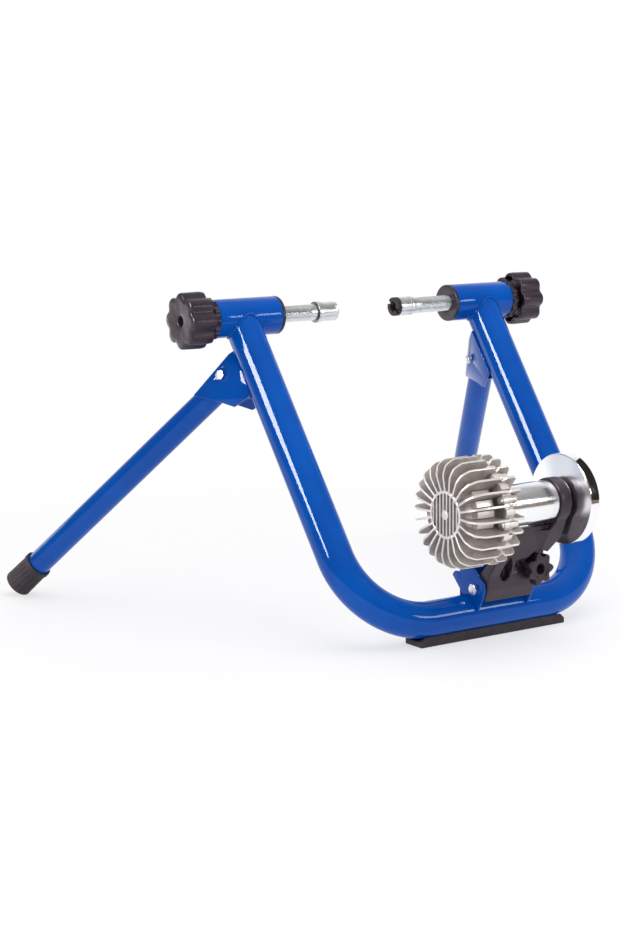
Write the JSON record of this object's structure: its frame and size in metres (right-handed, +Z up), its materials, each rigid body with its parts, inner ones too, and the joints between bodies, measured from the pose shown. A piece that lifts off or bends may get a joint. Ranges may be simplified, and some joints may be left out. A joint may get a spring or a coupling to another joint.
{
  "type": "wheel-on turbo trainer",
  "caption": "Folding tube stand that clamps a bicycle's rear axle between screw spindles and presses a roller with a finned fluid brake and a flywheel against the tyre.",
  "frame": {"origin": "middle of the flat underside of the base pad, on the floor", "axes": "+X along the axle from the left clamp to the right one (the flywheel's side), +Y from the brake towards the folding legs' feet, +Z up"},
  "size_m": [0.7622, 0.665, 0.4098],
  "materials": {
    "blue_paint": "glossy saturated blue powder coat on steel tube and plate",
    "black_rubber": "matt black rubber",
    "black_plastic": "dark moulded plastic with a soft sheen",
    "dark_steel": "plain oiled steel",
    "zinc_steel": "bright zinc-plated steel",
    "cast_aluminium": "bare die-cast aluminium with bright machined fin edges",
    "chrome": "polished, mirror-like",
    "seal_rubber": "nitrile rubber"
  },
  "bodies": {
    "frame": {"frame_tube": "blue_paint", "base_pad": "black_rubber", "left_sleeve": "blue_paint", "right_sleeve": "blue_paint", "left_bush": "black_plastic", "right_bush": "black_plastic", "left_thread_insert": "dark_steel", "right_thread_insert": "dark_steel", "left_leg_bracket": "blue_paint", "right_leg_bracket": "blue_paint", "left_leg_bolt": "zinc_steel", "right_leg_bolt": "zinc_steel", "left_leg_nut": "zinc_steel", "right_leg_nut": "zinc_steel", "unit_bracket": "blue_paint", "pivot_bolt": "zinc_steel", "pivot_nut": "zinc_steel", "pivot_sleeve": "dark_steel"},
    "left_folding_leg": {"left_leg": "blue_paint", "left_foot_cap": "black_rubber"},
    "right_folding_leg": {"right_leg": "blue_paint", "right_foot_cap": "black_rubber"},
    "left_axle_cup": {"left_cup": "zinc_steel"},
    "right_axle_cup": {"right_cup": "zinc_steel", "right_cup_tip": "black_rubber"},
    "left_clamp_screw": {"left_spindle": "zinc_steel", "left_knob": "black_plastic"},
    "right_clamp_screw": {"right_spindle": "zinc_steel", "right_knob": "black_plastic"},
    "left_locking_ring": {"left_lock_ring": "black_plastic"},
    "right_locking_ring": {"right_lock_ring": "black_plastic"},
    "brake_unit": {"yoke": "black_plastic", "yoke_screw_1": "zinc_steel", "yoke_screw_2": "zinc_steel", "housing_front": "cast_aluminium", "housing_rear": "cast_aluminium", "housing_gasket": "seal_rubber", "housing_screw_1": "zinc_steel", "housing_screw_2": "zinc_steel", "housing_screw_3": "zinc_steel", "housing_screw_4": "zinc_steel", "housing_screw_5": "zinc_steel", "housing_screw_6": "zinc_steel", "housing_screw_7": "zinc_steel", "housing_screw_8": "zinc_steel", "housing_screw_9": "zinc_steel", "housing_screw_10": "zinc_steel", "housing_screw_11": "zinc_steel", "housing_screw_12": "zinc_steel", "shaft_seal": "seal_rubber", "left_bearing": "dark_steel", "right_bearing": "dark_steel"},
    "tension_screw": {"tension_bolt": "zinc_steel"},
    "tension_star": {"tension_knob": "black_plastic"},
    "rotor": {"impeller": "cast_aluminium", "shaft": "zinc_steel", "roller": "chrome", "flywheel": "chrome", "flywheel_nut": "zinc_steel"}
  },
  "joints": [
    {"name": "left_leg_fold", "type": "hinge", "parent": "frame", "child": "left_folding_leg", "pos_m": [-0.19966, 0.25363, 0.30195], "axis": [-0.9214, -0.3221, 0.2174], "range_deg": [0, 80]},
    {"name": "right_leg_fold", "type": "hinge", "parent": "frame", "child": "right_folding_leg", "pos_m": [0.19966, 0.25363, 0.30195], "axis": [-0.9214, 0.3221, -0.2174], "range_deg": [0, 80]},
    {"name": "left_clamp_travel", "type": "slide", "parent": "frame", "child": "left_axle_cup", "axis": [-1, 0, 0], "range_m": [0, 0.0521]},
    {"name": "right_clamp_travel", "type": "slide", "parent": "frame", "child": "right_axle_cup", "axis": [1, 0, 0], "range_m": [0, 0.0521]},
    {"name": "left_knob_turn", "type": "hinge", "parent": "left_axle_cup", "child": "left_clamp_screw", "pos_m": [-0.16, 0.252, 0.375], "axis": [-1, 0, 0], "range_deg": [0, 7488]},
    {"name": "right_knob_turn", "type": "hinge", "parent": "right_axle_cup", "child": "right_clamp_screw", "pos_m": [0.16, 0.252, 0.375], "axis": [1, 0, 0], "range_deg": [0, 7488]},
    {"name": "left_lock_ring_turn", "type": "hinge", "parent": "frame", "child": "left_locking_ring", "pos_m": [-0.2325, 0.252, 0.375], "axis": [-1, 0, 0], "range_deg": [0, 90]},
    {"name": "right_lock_ring_turn", "type": "hinge", "parent": "frame", "child": "right_locking_ring", "pos_m": [0.2325, 0.252, 0.375], "axis": [1, 0, 0], "range_deg": [0, 90]},
    {"name": "brake_swing", "type": "hinge", "parent": "frame", "child": "brake_unit", "pos_m": [0, -0.018, 0.06157], "axis": [-1, 0, 0], "range_deg": [-4, 16]},
    {"name": "tension_bolt_tilt", "type": "hinge", "parent": "frame", "child": "tension_screw", "pos_m": [0.036, 0.0178, 0.08397], "axis": [-1, 0, 0], "range_deg": [-1.8, 7.1]},
    {"name": "tension_knob_turn", "type": "hinge", "parent": "brake_unit", "child": "tension_star", "pos_m": [0.036, -0.05, 0.08397], "axis": [0, 1, 0], "range_deg": [-500, 2000]},
    {"name": "roller_spin", "type": "hinge", "parent": "brake_unit", "child": "rotor", "pos_m": [0, -0.05736, 0.16557], "axis": [-1, 0, 0], "continuous": true}
  ],
  "couplings": [
    {"joint": "left_clamp_travel", "follows": "left_knob_turn", "m_per_rad": 0.00039789},
    {"joint": "right_clamp_travel", "follows": "right_knob_turn", "m_per_rad": 0.00039789},
    {"joint": "tension_bolt_tilt", "follows": "brake_swing", "ratio": 0.442},
    {"joint": "tension_knob_turn", "follows": "brake_swing", "ratio": 123}
  ]
}
